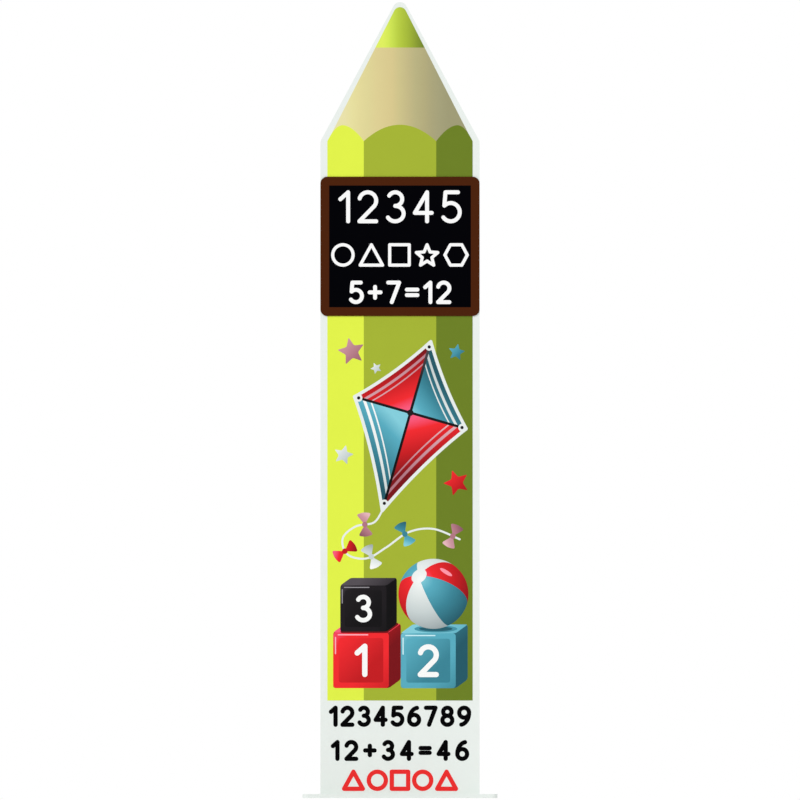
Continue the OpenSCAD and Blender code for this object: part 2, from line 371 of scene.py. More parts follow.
@dataclass(frozen=True, kw_only=True)
class Extrusion(Finish):
    """Mill-finish aluminium with die lines along its length."""

    tint: Tint = Tint(206, 208, 211)
    groove: Tint = Tint(178, 180, 184)

    def mix(self, shader: Shader) -> None:
        """Fills the material's node tree.

        Args:
            shader: The node tree.
        """
        lines = shader.noise(grain=0.7, detail=3, stretch=(0.004, 1, 1))
        shader.surface.inputs["Metallic"].default_value = 1.0
        marks = shader.spread(lines, low=0, high=1)
        shader.colour(shader.ramp(marks, [(0.0, self.groove), (1.0, self.tint)]))
        drawn = shader.noise(grain=18, stretch=(0.2, 1, 1))
        shader.roughness(shader.spread(drawn, low=0.3, high=0.44))
        shader.bump(lines, depth=0.03, strength=0.5)


@dataclass(frozen=True, kw_only=True)
class Galvanised(Finish):
    """Hot-dip zinc with its spangle."""

    dark: Tint = Tint(160, 163, 166)
    light: Tint = Tint(183, 186, 189)
    spangle: float = 4.5

    def mix(self, shader: Shader) -> None:
        """Fills the material's node tree.

        Args:
            shader: The node tree.
        """
        flakes = shader.add("TexVoronoi")
        flakes.inputs["Scale"].default_value = 1 / (self.spangle * MM)
        shader.join(shader.frosted(grain=self.spangle * 0.35, reach=1.4), flakes.inputs["Vector"])
        grey = shader.add("SeparateColor")
        shader.join(flakes.outputs["Color"], grey.inputs["Color"])
        shader.surface.inputs["Metallic"].default_value = 1.0
        crystals = shader.ramp(grey.outputs["Red"], [(0.0, self.dark), (1.0, self.light)])
        shader.colour(shader.mottle(crystals, grain=1.2, depth=0.08))
        shader.roughness(shader.spread(grey.outputs["Green"], low=0.42, high=0.58, window=(0, 1)))
        shader.bump(shader.noise(grain=1.6, detail=3), depth=0.08, strength=0.5)


@dataclass(frozen=True, kw_only=True)
class ZincPlate(Finish):
    """Bright zinc plate, a little yellow and blue in places."""

    cool: Tint = Tint(186, 192, 200)
    warm: Tint = Tint(206, 202, 188)

    def mix(self, shader: Shader) -> None:
        """Fills the material's node tree.

        Args:
            shader: The node tree.
        """
        shader.surface.inputs["Metallic"].default_value = 1.0
        drift = shader.spread(shader.noise(grain=14), low=0, high=1)
        shader.colour(shader.ramp(drift, [(0.0, self.cool), (1.0, self.warm)]))
        shader.roughness(shader.spread(shader.noise(grain=4), low=0.24, high=0.38))
        shader.bump(shader.noise(grain=0.8), depth=0.01, strength=0.3)


@dataclass(frozen=True, kw_only=True)
class MouldedPlastic(Finish):
    """Moulded polymer with a fine spark-eroded grain."""

    tint: Tint = Tint(34, 34, 36)

    def mix(self, shader: Shader) -> None:
        """Fills the material's node tree.

        Args:
            shader: The node tree.
        """
        sparks = shader.noise(grain=0.6, detail=1)
        shader.colour(shader.mottle(self.tint, grain=12, depth=0.06))
        shader.roughness(shader.spread(sparks, low=0.5, high=0.62))
        shader.bump(sparks, depth=0.05, strength=0.4)


@dataclass(frozen=True, kw_only=True)
class Adhesive(Finish):
    """Cured structural adhesive, matt and slightly wavy."""

    tint: Tint = Tint(172, 174, 170)

    def mix(self, shader: Shader) -> None:
        """Fills the material's node tree.

        Args:
            shader: The node tree.
        """
        wave = shader.noise(grain=4)
        shader.colour(shader.mottle(self.tint, grain=9, depth=0.07))
        shader.roughness(shader.spread(wave, low=0.5, high=0.68))
        shader.bump(wave, depth=0.25, strength=0.6)


COAT = SprayedCoat(name="pale_coat", tint=Tint(234, 240, 236))
BROWN_COAT = SprayedCoat(name="brown_coat", tint=Tint(75, 34, 12), gloss=0.15)
RAIL_METAL = Extrusion(name="rail_metal")
CLAMP_ZINC = Galvanised(name="clamp_zinc")
FASTENER_ZINC = ZincPlate(name="fastener_zinc")
CAP_PLASTIC = MouldedPlastic(name="cap_plastic")
ADHESIVE = Adhesive(name="adhesive")


def flat_ink(name: str, tint: Tint, gloss: float = 0.1) -> Ink:
    """Gives an ink of one tint."""
    return Ink(name=name, stops=((0.0, tint),), gloss=gloss)


def arc(centre: Point, radii: Point, start: float, end: float, steps: int = 24) -> Loop:
    """Draws a part of an ellipse.

    Args:
        centre: Its middle.
        radii: Its radii, across and up.
        start: First angle, in degrees from the right.
        end: Last angle.
        steps: Number of chords.

    Returns:
        The points, from the first angle to the last.
    """
    (x, z), (across, up) = centre, radii
    angles = [radians(start + (end - start) * i / steps) for i in range(steps + 1)]
    return [(x + across * cos(a), z + up * sin(a)) for a in angles]


def disc(centre: Point, radius: float, steps: int = 48) -> Loop:
    """Draws a full circle."""
    return arc(centre, (radius, radius), 0, 360, steps)[:-1]


def block(low: Point, high: Point) -> Loop:
    """Draws a rectangle between two corners."""
    return [low, (high[0], low[1]), high, (low[0], high[1])]


def rounded(corners: Loop, radius: float, steps: int = 6) -> Loop:
    """Rounds the corners of a polygon.

    Args:
        corners: The polygon's corners.
        radius: Length that each rounding takes off the shorter way along its edges.
        steps: Number of chords in each corner.

    Returns:
        The outline with its corners turned into short curves.
    """
    out: Loop = []
    for i, corner in enumerate(corners):
        here = Vector(corner)
        back, ahead = Vector(corners[i - 1]) - here, Vector(corners[(i + 1) % len(corners)]) - here
        first = here + back.normalized() * min(radius, back.length / 2)
        last = here + ahead.normalized() * min(radius, ahead.length / 2)
        for k in range(steps + 1):
            t = k / steps
            bend = first * (1 - t) ** 2 + here * 2 * t * (1 - t) + last * t**2
            out.append((bend.x, bend.y))
    return out


def laid(points: Loop, at: Point, lean: float = 0.0, scale: float = 1.0) -> Loop:
    """Scales, turns and moves points.

    Args:
        points: The points.
        at: Where their origin goes.
        lean: Turn to the left, in degrees.
        scale: Factor on their distances.

    Returns:
        The moved points.
    """
    turn = radians(lean)
    c, s = scale * cos(turn), scale * sin(turn)
    return [(at[0] + c * x - s * z, at[1] + s * x + c * z) for x, z in points]


def star(tips: int, outer: float, inner: float) -> Loop:
    """Draws a star round the origin, with one tip up.

    Args:
        tips: Number of its tips.
        outer: Distance of the tips from the origin.
        inner: Distance of the notches between them.

    Returns:
        The outline.
    """
    radii = (outer, inner)
    angles = [pi / 2 + pi * i / tips for i in range(2 * tips)]
    return [(radii[i % 2] * cos(a), radii[i % 2] * sin(a)) for i, a in enumerate(angles)]


def ribbon(path: Loop, width: float, cap_steps: int = 8) -> Loop:
    """Draws the outline of a round pen that follows a path.

    Args:
        path: The pen's path, open and without sharp turns.
        width: The pen's width.
        cap_steps: Number of chords in each round end.

    Returns:
        One closed outline.
    """
    half = width / 2
    last = len(path) - 1
    headings = []
    for i in range(last + 1):
        before, after = path[max(i - 1, 0)], path[min(i + 1, last)]
        headings.append(atan2(after[1] - before[1], after[0] - before[0]))
    left = [(x - half * sin(a), z + half * cos(a)) for (x, z), a in zip(path, headings)]
    right = [(x + half * sin(a), z - half * cos(a)) for (x, z), a in zip(path, headings)]
    turn = degrees(headings[-1])
    far = arc(path[-1], (half, half), turn + 90, turn - 90, cap_steps)[1:-1]
    turn = degrees(headings[0])
    near = arc(path[0], (half, half), turn - 90, turn - 270, cap_steps)[1:-1]
    return left + far + right[::-1] + near


def smooth_path(knots: Loop, steps: int = 12) -> Loop:
    """Draws a smooth curve through points.

    Args:
        knots: The points.
        steps: Number of chords between two of them.

    Returns:
        The curve's points.
    """
    ends = [knots[0], *knots, knots[-1]]
    out: Loop = []
    for a, b, c, d in zip(ends, ends[1:], ends[2:], ends[3:]):
        for k in range(steps):
            t = k / steps
            weights = (
                (-(t**3) + 2 * t**2 - t) / 2,
                (3 * t**3 - 5 * t**2 + 2) / 2,
                (-3 * t**3 + 4 * t**2 + t) / 2,
                (t**3 - t**2) / 2,
            )
            out.append(tuple(sum(w * p[i] for w, p in zip(weights, (a, b, c, d))) for i in (0, 1)))
    return [*out, knots[-1]]


@dataclass(frozen=True)
class Field:
    """An area of a print and the ink on it. Without an ink it is left open."""

    loop: Loop
    ink: Finish | None


class Mark(Enum):
    """The marks that a row can hold: numerals, signs of sums, and simple shapes."""

    NIL = "0"
    ONE = "1"
    TWO = "2"
    THREE = "3"
    FOUR = "4"
    FIVE = "5"
    SIX = "6"
    SEVEN = "7"
    EIGHT = "8"
    NINE = "9"
    PLUS = "+"
    EQUALS = "="
    CIRCLE = "o"
    TRIANGLE = "t"
    SQUARE = "s"
    HEXAGON = "h"
    STAR = "*"


def legs(*corners: Point, closed: bool = False) -> list[Loop]:
    """Gives one straight stroke for each leg of a path, so that its turns come out round."""
    ends = [*corners, corners[0]] if closed else list(corners)
    return [[a, b] for a, b in zip(ends, ends[1:])]


def strokes(mark: Mark) -> list[Loop]:
    """Gives a mark's strokes.

    Args:
        mark: The mark.

    Returns:
        The paths of a pen, in a box that is 1 high, with its lower left corner at the origin.
    """
    wide = 0.58
    mid = wide / 2
    six = [
        arc((mid, 0.29), (mid, 0.29), 180, 360),
        arc((mid, 0.29), (mid, 0.29), 0, 180),
        arc((0.53, 0.29), (0.53, 0.71), 180, 98),
    ]
    match mark:
        case Mark.NIL:
            return [
                arc((mid, 1 - mid), (mid, mid), 0, 180),
                arc((mid, mid), (mid, mid), 180, 360),
                *legs((0, mid), (0, 1 - mid)),
                *legs((wide, mid), (wide, 1 - mid)),
            ]
        case Mark.ONE:
            return legs((0, 0.76), (0.27, 1), (0.27, 0))
        case Mark.TWO:
            bow = arc((mid, 1 - mid), (mid, mid), 165, -44)
            return [bow, *legs((0.499, 0.509), (0, 0), (wide, 0))]
        case Mark.THREE:
            return [
                arc((0.27, 0.765), (0.24, 0.235), 150, -90),
                arc((0.27, 0.265), (0.29, 0.265), 90, -150),
            ]
        case Mark.FOUR:
            return legs((0.42, 0), (0.42, 1), (0, 0.29), (wide, 0.29))
        case Mark.FIVE:
            belly = arc((0.27, 0.315), (0.31, 0.315), 134, -145)
            return [*legs((0.52, 1), (0.09, 1), (0.05, 0.54)), belly]
        case Mark.SIX:
            return six
        case Mark.SEVEN:
            return legs((0, 1), (0.56, 1), (0.18, 0))
        case Mark.EIGHT:
            return [
                arc((mid, 0.765), (0.245, 0.235), 0, 180),
                arc((mid, 0.765), (0.245, 0.235), 180, 360),
                arc((mid, 0.265), (mid, 0.265), 0, 180),
                arc((mid, 0.265), (mid, 0.265), 180, 360),
            ]
        case Mark.NINE:
            return [[(wide - x, 1 - z) for x, z in path] for path in six]
        case Mark.PLUS:
            return [*legs((0, 0.5), (0.56, 0.5)), *legs((0.28, 0.22), (0.28, 0.78))]
        case Mark.EQUALS:
            return [*legs((0, 0.64), (0.54, 0.64)), *legs((0, 0.36), (0.54, 0.36))]
        case Mark.CIRCLE:
            return [arc((0.5, 0.5), (0.5, 0.5), start, start + 180, 32) for start in (0, 180)]
        case Mark.TRIANGLE:
            return legs((0, 0), (1.1, 0), (0.55, 1), closed=True)
        case Mark.SQUARE:
            return legs((0, 0), (0.96, 0), (0.96, 1), (0, 1), closed=True)
        case Mark.HEXAGON:
            upper = ((1.1, 0.5), (0.83, 1), (0.27, 1), (0, 0.5))
            return legs((0.27, 0), (0.83, 0), *upper, closed=True)
        case Mark.STAR:
            top, shift = 0.56, 0.533
            tips = star(5, outer=top, inner=0.25)
            low = min(z for _, z in tips)
            rise = 1 / (top - low)
            return legs(*[((x + shift) * rise, (z - low) * rise) for x, z in tips], closed=True)


@dataclass(frozen=True)
class MarkRow:
    """A centred row of marks, drawn with one round pen."""

    marks: str
    bottom: float
    height: float
    width: float
    pen: float
    ink: Finish
    middle: float = 0.0

    def fields(self) -> list[Field]:
        """Lays the marks out with even gaps.

        Returns:
            One field for each stroke.
        """
        line = self.height - self.pen
        drawn = [strokes(Mark(sign)) for sign in self.marks]
        widths = [max(x for path in paths for x, _ in path) * line + self.pen for paths in drawn]
        gap = (self.width - sum(widths)) / max(len(widths) - 1, 1)
        left = self.middle - (sum(widths) + gap * (len(widths) - 1)) / 2
        out = []
        for paths, width in zip(drawn, widths):
            corner = (left + self.pen / 2, self.bottom + self.pen / 2)
            lines = [laid(path, corner, scale=line) for path in paths]
            out += [Field(ribbon(path, self.pen), self.ink) for path in lines]
            left += width + gap
        return out


@dataclass
class PrintedSheet:
    """Sign film cut as one thin closed sheet, with its fields of ink side by side in its face.

    A later field covers an earlier one. Where an outline is given, nothing reaches past it.
    """

    name: str
    face_y: float
    thickness: float = 0.3
    snap: float = 0.02
    outline: list[Field] = field(default_factory=list)
    fields: list[Field] = field(default_factory=list)

    def build(self) -> Piece:
        """Cuts the sheet.

        Returns:
            The sheet's object, with one material for each ink.
        """
        areas = [*self.outline, *self.fields]
        places, spans = [], []
        for area in areas:
            loop = area.loop if self.turn(area.loop) > 0 else area.loop[::-1]
            spans.append(list(range(len(places), len(places) + len(loop))))
            places += [Vector(point) for point in loop]
        spots, _, triangles, _, _, covers = delaunay_2d_cdt(places, [], spans, 1, self.snap)
        inks = list(dict.fromkeys(area.ink for area in areas if area.ink))
        kept, slots = [], []
        for triangle, cover in zip(triangles, covers):
            if not cover or (self.outline and min(cover) >= len(self.outline)):
                continue
            ink = areas[max(cover)].ink
            if ink:
                kept.append(triangle)
                slots.append(inks.index(ink))
        return self.thicken([(spot.x, spot.y) for spot in spots], kept, slots, inks)

    @staticmethod
    def turn(loop: Loop) -> float:
        """Gives twice the area inside a loop, above 0 when it runs to the left."""
        return sum(a[0] * b[1] - b[0] * a[1] for a, b in zip(loop, loop[1:] + loop[:1]))

    def thicken(
        self, spots: Loop, triangles: list[list[int]], slots: list[int], inks: list[Finish]
    ) -> Piece:
        """Gives the cut face its thickness and closes its rim.

        Args:
            spots: The face's points.
            triangles: The face's triangles, which run to the left seen from the front.
            slots: The ink of each triangle.
            inks: The inks in the order of the slots.

        Returns:
            The sheet's object.
        """
        used = sorted({i for triangle in triangles for i in triangle})
        number = {old: new for new, old in enumerate(used)}
        count = len(used)
        places = [
            (spots[i][0] * MM, y * MM, spots[i][1] * MM)
            for y in (self.face_y, self.face_y + self.thickness)
            for i in used
        ]
        owner: dict[tuple[int, int], int] = {}
        faces, materials = [], []
        for triangle, slot in zip(triangles, slots):
            a, b, c = (number[i] for i in triangle)
            faces += [(a, b, c), (c + count, b + count, a + count)]
            materials += [slot, slot]
            owner |= {(a, b): slot, (b, c): slot, (c, a): slot}
        for (a, b), slot in owner.items():
            if (b, a) not in owner:
                faces.append((a, a + count, b + count, b))
                materials.append(slot)
        mesh = bpy.data.meshes.new(self.name)
        mesh.from_pydata(places, [], faces)
        mesh.polygons.foreach_set("material_index", materials)
        for ink in inks:
            mesh.materials.append(ink.material())
        mesh.update()
        return added(self.name, mesh)


def added(name: str, mesh: bpy.types.Mesh) -> Piece:
    """Puts a mesh into the scene as an object at the origin.

    Args:
        name: The object's name.
        mesh: Its mesh.

    Returns:
        The object.
    """
    piece = bpy.data.objects.new(name, mesh)
    bpy.context.scene.collection.objects.link(piece)
    return piece


Tints = tuple[Tint, ...]

RED = (Tint(250, 92, 128), Tint(243, 40, 46), Tint(196, 24, 30), Tint(120, 12, 20))
TEAL = (Tint(132, 206, 220), Tint(88, 172, 192), Tint(58, 132, 150), Tint(34, 88, 102))
PINK = (Tint(232, 184, 190), Tint(206, 152, 162), Tint(176, 118, 130), Tint(128, 80, 92))
BLACK = (Tint(84, 78, 84), Tint(26, 22, 26), Tint(10, 8, 11), Tint(4, 3, 5))
WHITE = (Tint(250, 251, 250), Tint(232, 238, 236), Tint(200, 210, 210), Tint(150, 162, 164))


def moulded(name: str, tints: Tints, light: Point, dark: Point, round_form: bool = False) -> Ink:
    """Gives an ink shaded like moulded plastic.

    Args:
        name: The ink's name.
        tints: Tints from the brightest to the darkest.
        light: Where the light falls.
        dark: Where the form turns away from it.
        round_form: Whether the shade runs in rings round the light.

    Returns:
        The ink.
    """
    places = (0.0, 0.22, 0.62, 1.0)
    falloff = Falloff.ROUND if round_form else Falloff.ALONG
    return Ink(name=name, stops=tuple(zip(places, tints)), start=light, end=dark, falloff=falloff)


def graded(*rows: tuple[float, float, float, float]) -> tuple[tuple[float, Tint], ...]:
    """Gives an ink's stops from rows of place, red, green and blue."""
    return tuple((place, Tint(*tint)) for place, *tint in rows)


@dataclass(frozen=True)
class Kite:
    """A leaning kite with four striped panels, a pale hem, two spars and a tail with bows."""

    centre: Point = (26, 968)
    lean: float = -16.0
    up: float = 186.0
    side: float = 146.0
    down: float = 256.0
    tension: float = 0.06
    hem: float = 8.0
    spar: float = 6.5
    hub: float = 8.0
    patch: float = 9.5
    eyelet: float = 4.2
    eyelet_at: float = 0.925
    shades: tuple[Point, ...] = ((0.02, 0.9), (0.1, 1.0), (0.25, 1.25), (0.1, 1.1))
    bands: tuple[Point, ...] = ((0.86, 0.8), (0.72, 0.69))
    rope: float = 5.0
    tail: tuple[Point, ...] = (
        (-66, 692), (-112, 682), (-144, 652), (-132, 612), (-84, 602), (-34, 630), (22, 668),
        (84, 676), (150, 650),
    )
    bows: tuple[tuple[float, Tints], ...] = (
        (0.17, PINK), (0.42, RED), (0.59, WHITE), (0.77, TEAL), (0.97, PINK),
    )
    wing: tuple[Point, ...] = ((0, 0), (27, 19), (31, 0), (27, -19))
    softness: float = 7.0
    knot: float = 7.0

    def corners(self) -> Loop:
        """Gives the kite's corners on the print: top, right, bottom and left."""
        cross = [(0, self.up), (self.side, 0), (0, -self.down), (-self.side, 0)]
        return laid(cross, self.centre, self.lean)

    def inward(self, spot: Point, share: float) -> Point:
        """Moves a point towards the kite's middle, to a share of its distance."""
        return tuple(c + (value - c) * share for c, value in zip(self.centre, spot))

    def edge(self, a: Point, b: Point, steps: int = 16) -> Loop:
        """Draws an edge that the cloth's tension pulls in a little.

        Args:
            a: The corner where it starts.
            b: The corner where it ends.
            steps: Number of its chords.

        Returns:
            The edge's points.
        """
        mid = Vector(((a[0] + b[0]) / 2, (a[1] + b[1]) / 2))
        bend = mid + (Vector(self.centre) - mid) * self.tension * 2
        places = [k / steps for k in range(steps + 1)]
        shares = [((1 - t) ** 2, 2 * t * (1 - t), t**2) for t in places]
        return [tuple(a[i] * u + bend[i] * v + b[i] * w for i in (0, 1)) for u, v, w in shares]

    def fields(self) -> list[Field]:
        """Draws the tail, then the panels, and the hem, spars and eyelets on them.

        Returns:
            The kite's fields, from the back to the front.
        """
        corners = self.corners()
        tail = smooth_path([corners[2], *self.tail])
        out = [Field(ribbon(tail, self.rope), flat_ink("kite_rope", WHITE[1]))]
        for i, (share, tints) in enumerate(self.bows):
            k = round(share * (len(tail) - 2))
            heading = atan2(tail[k + 1][1] - tail[k][1], tail[k + 1][0] - tail[k][0])
            out += self.bow(tail[k], degrees(heading) + 90, tints, f"bow_{i + 1}")
        sides = list(zip(corners, corners[1:] + corners[:1]))
        for i, (a, b) in enumerate(sides):
            out += self.panel(i, self.edge(a, b))
        spar = moulded("kite_spar", BLACK, corners[0], corners[2])
        out += [Field(ribbon([corners[i], corners[i + 2]], self.spar), spar) for i in (0, 1)]
        hem, eyelet = flat_ink("kite_hem", WHITE[1]), flat_ink("kite_eyelet", BLACK[1])
        out += [Field(ribbon(self.edge(a, b), self.hem), hem) for a, b in sides]
        out.append(Field(disc(self.centre, self.hub), eyelet))
        for corner in corners:
            spot = self.inward(corner, self.eyelet_at)
            out.append(Field(disc(spot, self.patch, 24), hem))
            out.append(Field(disc(spot, self.eyelet, 16), eyelet))
        return out

    def panel(self, i: int, rim: Loop) -> list[Field]:
        """Draws a panel, shaded from the kite's middle to its rim, and the stripes along the rim.

        Args:
            i: The panel's number, from 0 at the upper right.
            rim: Its outer edge.

        Returns:
            Its fields.
        """
        cloth, pale = ((TEAL, WHITE), (RED, PINK))[i % 2]
        mid = tuple((a + b) / 2 for a, b in zip(rim[0], rim[-1]))
        light, dark = (self.inward(mid, share) for share in self.shades[i])
        out = [Field([self.centre, *rim], moulded(f"kite_panel_{i + 1}", cloth, light, dark))]
        trim = moulded(f"kite_trim_{i + 1}", (pale[0], *pale[:3]), light, dark)
        for outer, inner in self.bands:
            band = [self.inward(spot, outer) for spot in rim]
            out.append(Field(band + [self.inward(spot, inner) for spot in rim[::-1]], trim))
        return out

    def bow(self, at: Point, lean: float, tints: Tints, name: str) -> list[Field]:
        """Draws a bow: two soft wings and a knot.

        Args:
            at: The knot's middle.
            lean: The bow's lean, in degrees.
            tints: Its tints, from light to dark.
            name: The name of its inks.

        Returns:
            Its fields.
        """
        wing = rounded(list(self.wing), self.softness)
        light, dark = laid([(-20, 14), (18, -26)], at, lean)
        ink = moulded(name, tints, light, dark)
        wings = [Field(laid([(side * x, z) for x, z in wing], at, lean), ink) for side in (1, -1)]
        return [*wings, Field(disc(at, self.knot, 24), flat_ink(name + "_knot", tints[2]))]


@dataclass(frozen=True)
class BeachBall:
    """A ball of six gores, drawn as a sphere whose pole points up and towards the viewer."""

    centre: Point = (84, 513)
    radius: float = 88.0
    pole: Spot = (-0.42, 0.52, 0.74)
    gores: int = 6
    cap: float = 0.24
    light: Point = (-0.34, 0.42)
    dark: Point = (0.68, -0.74)
    gleam: Point = (0.36, 0.62)
    gleam_radii: Point = (0.2, 0.055)
    gleam_lean: float = -32.0
    shadows: tuple[tuple[float, float, Tint], ...] = (
        (54, 9, Tint(70, 146, 165)), (42, 6, Tint(38, 94, 108)),
    )
    shadow_shift: float = 6.0
    steps: int = 16

    def spot(self, polar: float, round_pole: float) -> Point:
        """Projects a point of the sphere.

        Args:
            polar: Angle from the pole.
            round_pole: Angle round the pole.

        Returns:
            The point on the print.
        """
        pole, side, other = self.axes()
        place = pole * cos(polar) + (side * cos(round_pole) + other * sin(round_pole)) * sin(polar)
        return self.centre[0] + self.radius * place.x, self.centre[1] + self.radius * place.y

    def axes(self) -> tuple[Vector, Vector, Vector]:
        """Turns the ball into place.

        Returns:
            The pole and two directions across it. Their third part points towards the viewer.
        """
        pole = Vector(self.pole).normalized()
        side = pole.cross(Vector((0, 1, 0))).normalized()
        return pole, side, pole.cross(side)

    def rim(self, round_pole: float) -> float:
        """Gives the angle from the pole at which a meridian turns out of view."""
        pole, side, other = self.axes()
        return atan2(pole.z, -(side.z * cos(round_pole) + other.z * sin(round_pole)))

    def fields(self) -> list[Field]:
        """Draws the shadow, the gores, the cap at the pole and a gleam.

        Returns:
            The ball's fields, from the back to the front.
        """
        light, dark = laid([self.light, self.dark], self.centre, scale=self.radius)
        inks = [
            moulded(f"ball_{name}", tints, light, dark, round_form=True)
            for name, tints in (("red", RED), ("white", WHITE), ("teal", TEAL))
        ]
        below = (self.centre[0] + self.shadow_shift, self.centre[1] - self.radius)
        out = [
            Field(arc(below, (wide, high), 0, 360, 48)[:-1], flat_ink(f"ball_shadow_{wide}", tint))
            for wide, high, tint in self.shadows
        ]
        out.append(Field(disc(self.centre, self.radius, 96), inks[0]))
        for i in range(self.gores):
            first, last = (2 * pi * (i + k) / self.gores for k in (0, 1))
            n = self.steps
            side = [self.spot(self.rim(first) * k / n, first) for k in range(n + 1)]
            turns = [first + (last - first) * k / n for k in range(1, n)]
            back = [self.spot(self.rim(last) * k / n, last) for k in range(n, 0, -1)]
            rim = [self.spot(self.rim(turn), turn) for turn in turns]
            out.append(Field(side + rim + back, inks[i % 3]))
        out.append(Field([self.spot(self.cap, 2 * pi * k / 32) for k in range(32)], inks[1]))
        gleam = laid(arc((0, 0), self.gleam_radii, 0, 360, 32)[:-1], self.gleam, self.gleam_lean)
        ink = flat_ink("ball_gleam", Tint(255, 150, 168))
        return [*out, Field(laid(gleam, self.centre, scale=self.radius), ink)]


@dataclass(frozen=True)
class ToyBlock:
    """A toy block with a numeral on its front, seen a little from above and the right."""

    name: str
    corner: Point
    size: float
    depth: Point
    tints: Tints
    numeral: str
    gleam: Tint
    ground: Tint | None = None
    shadow: float = 7.0
    shadow_inset: float = 4.0
    far_round: float = 7.0
    top_round: float = 5.0
    front_round: float = 9.0
    panel_round: float = 7.0
    rim: float = 0.1
    reach: float = 0.1
    numeral_low: float = 0.2
    numeral_height: float = 0.6
    numeral_pen: float = 0.095
    gleam_edge: float = 0.42
    gleam_end: float = 0.9
    gleam_far: float = 0.62
    gleam_pen: float = 0.22

    def fields(self) -> list[Field]:
        """Draws the far faces, the front with its raised rim, and the numeral.

        Returns:
            The block's fields, from the back to the front.
        """
        (x, z), size, (dx, dz) = self.corner, self.size, self.depth
        low_right, high_right = (x + size + dx, z + dz), (x + size + dx, z + size + dz)
        top = [(x, z + size), (x + size, z + size), high_right, (x + dx, z + size + dz)]
        hull = [(x, z), (x + size, z), low_right, high_right, top[3], (x, z + size)]
        light = (x - self.reach * size, z + (1 + self.reach) * size)
        dark = (x + (1 + self.reach) * size, z - self.reach * size)
        bright, plain, deep, darkest = self.tints
        faces = {
            "top": (bright, bright, plain, plain),
            "side": (deep, deep, darkest, darkest),
            "rim": (bright, plain, plain, deep),
            "panel": (plain, plain, deep, deep),
        }
        inks = {
            key: moulded(f"{self.name}_{key}", tints, light, dark) for key, tints in faces.items()
        }
        pad = self.rim * size
        inner = block((x + pad, z + pad), (x + size - pad, z + size - pad))
        out = []
        if self.ground:
            ink = flat_ink(self.name + "_shadow", self.ground)
            foot = legs((x + self.shadow_inset, z), (x + size, z), low_right)
            out += [Field(ribbon(leg, self.shadow), ink) for leg in foot]
        out += [
            Field(rounded(hull, self.far_round), inks["side"]),
            Field(rounded(top, self.top_round), inks["top"]),
            Field(rounded(block((x, z), (x + size, z + size)), self.front_round), inks["rim"]),
            Field(rounded(inner, self.panel_round), inks["panel"]),
        ]
        white = flat_ink("numeral_white", WHITE[0])
        row = MarkRow(
            self.numeral, bottom=z + self.numeral_low * size, height=self.numeral_height * size,
            width=0, pen=self.numeral_pen * size, ink=white, middle=x + size / 2,
        )
        return [*out, *self.gleams(pad), *row.fields()]

    def gleams(self, pad: float) -> list[Field]:
        """Draws the two thin gleams on the rim's upper left.

        Args:
            pad: The rim's width.

        Returns:
            One field for each.
        """
        (x, z), size = self.corner, self.size
        edge, near, far = pad * self.gleam_edge, pad * self.gleam_end, size * self.gleam_far
        ink = flat_ink(self.name + "_gleam", self.gleam)
        upright = [(x + edge, z + far), (x + edge, z + size - near)]
        level = [(x + near, z + size - edge), (x + far, z + size - edge)]
        return [Field(ribbon(line, pad * self.gleam_pen), ink) for line in (upright, level)]


